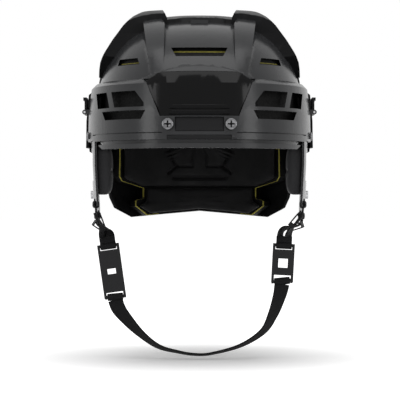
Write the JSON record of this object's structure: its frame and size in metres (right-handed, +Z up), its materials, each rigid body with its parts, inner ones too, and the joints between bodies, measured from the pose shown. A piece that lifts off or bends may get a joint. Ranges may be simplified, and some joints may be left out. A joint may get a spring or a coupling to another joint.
{
  "type": "ice hockey helmet",
  "caption": "Ice hockey helmet with a two-piece shell that slides to size, locking levers, a padded foam liner, clear ear guards and a webbing chin strap.",
  "frame": {"origin": "centre of the head opening, side to side, at the height of the brow's lower edge", "axes": "+Z up, -Y towards the face, +X to the right of someone who looks at the face; left and right in the names are as that person sees them"},
  "size_m": [0.2214, 0.278, 0.3294],
  "materials": {
    "shell_grey": "satin charcoal grey",
    "shell_black": "satin black",
    "panel_gloss": "high gloss black",
    "trim_black": "matt black",
    "screw_black": "blackened steel",
    "steel": "plated",
    "foam_yellow": "closed-cell foam, pale yellow",
    "pad_cover": "soft black cover",
    "side_pad_cover": "soft dark grey cover",
    "guard_clear": "clear polycarbonate",
    "lever_black": "satin black",
    "rack_plastic": "matt black",
    "webbing": "woven black nylon",
    "yoke_black": "moulded black"
  },
  "bodies": {
    "front_half": {"front_shell": "shell_grey", "brow_panel": "panel_gloss", "brow_trim": "trim_black", "visor_screws": "screw_black", "visor_nuts": "steel", "front_foam": "foam_yellow", "forehead_pad": "pad_cover", "upper_forehead_pad": "pad_cover", "temple_pad_left": "pad_cover", "temple_pad_right": "pad_cover", "ear_pad_left": "side_pad_cover", "ear_pad_right": "side_pad_cover", "ear_guard_left": "guard_clear", "ear_guard_right": "guard_clear", "ear_guard_screws": "screw_black", "ear_guard_nuts": "steel", "cage_snap_studs": "steel", "lever_pin_left": "steel", "lever_pin_right": "steel", "leg_straps_left": "webbing", "leg_straps_right": "webbing", "strap_keepers": "trim_black", "yoke_left": "yoke_black", "yoke_right": "yoke_black"},
    "rear_half": {"rear_shell": "shell_black", "rear_foam": "foam_yellow", "rear_pad": "pad_cover", "occipital_pad": "pad_cover", "crown_pad": "pad_cover", "side_pad_left": "pad_cover", "side_pad_right": "pad_cover", "rack_left": "rack_plastic", "rack_right": "rack_plastic"},
    "lever_left": {"lever_left": "lever_black"},
    "lever_right": {"lever_right": "lever_black"},
    "clamp_left": {"clamp_left": "rack_plastic"},
    "clamp_right": {"clamp_right": "rack_plastic"},
    "chin_strap": {"chin_strap": "webbing"}
  },
  "joints": [
    {"name": "size_slide", "type": "slide", "parent": "front_half", "child": "rear_half", "axis": [0, 1, 0], "range_m": [0, 0.02]},
    {"name": "lever_flip_left", "type": "hinge", "parent": "front_half", "child": "lever_left", "pos_m": [-0.1085, 0.004, 0.04], "axis": [0, -1, 0], "range_deg": [0, 75]},
    {"name": "lever_flip_right", "type": "hinge", "parent": "front_half", "child": "lever_right", "pos_m": [0.1085, 0.004, 0.04], "axis": [0, 1, 0], "range_deg": [0, 75]},
    {"name": "clamp_slide_left", "type": "slide", "parent": "front_half", "child": "clamp_left", "axis": [-1, 0, 0], "range_m": [0, 0.0015]},
    {"name": "clamp_slide_right", "type": "slide", "parent": "front_half", "child": "clamp_right", "axis": [1, 0, 0], "range_m": [0, 0.0015]},
    {"name": "chin_strap_swing", "type": "hinge", "parent": "front_half", "child": "chin_strap", "pos_m": [-0.00075, 0.002, -0.1275], "axis": [0.9956, 0, 0.0942], "range_deg": [-90, 90]}
  ],
  "couplings": [
    {"joint": "lever_flip_left", "follows": "clamp_slide_left", "rad_per_m": 872.6},
    {"joint": "lever_flip_right", "follows": "clamp_slide_right", "rad_per_m": 872.6}
  ]
}
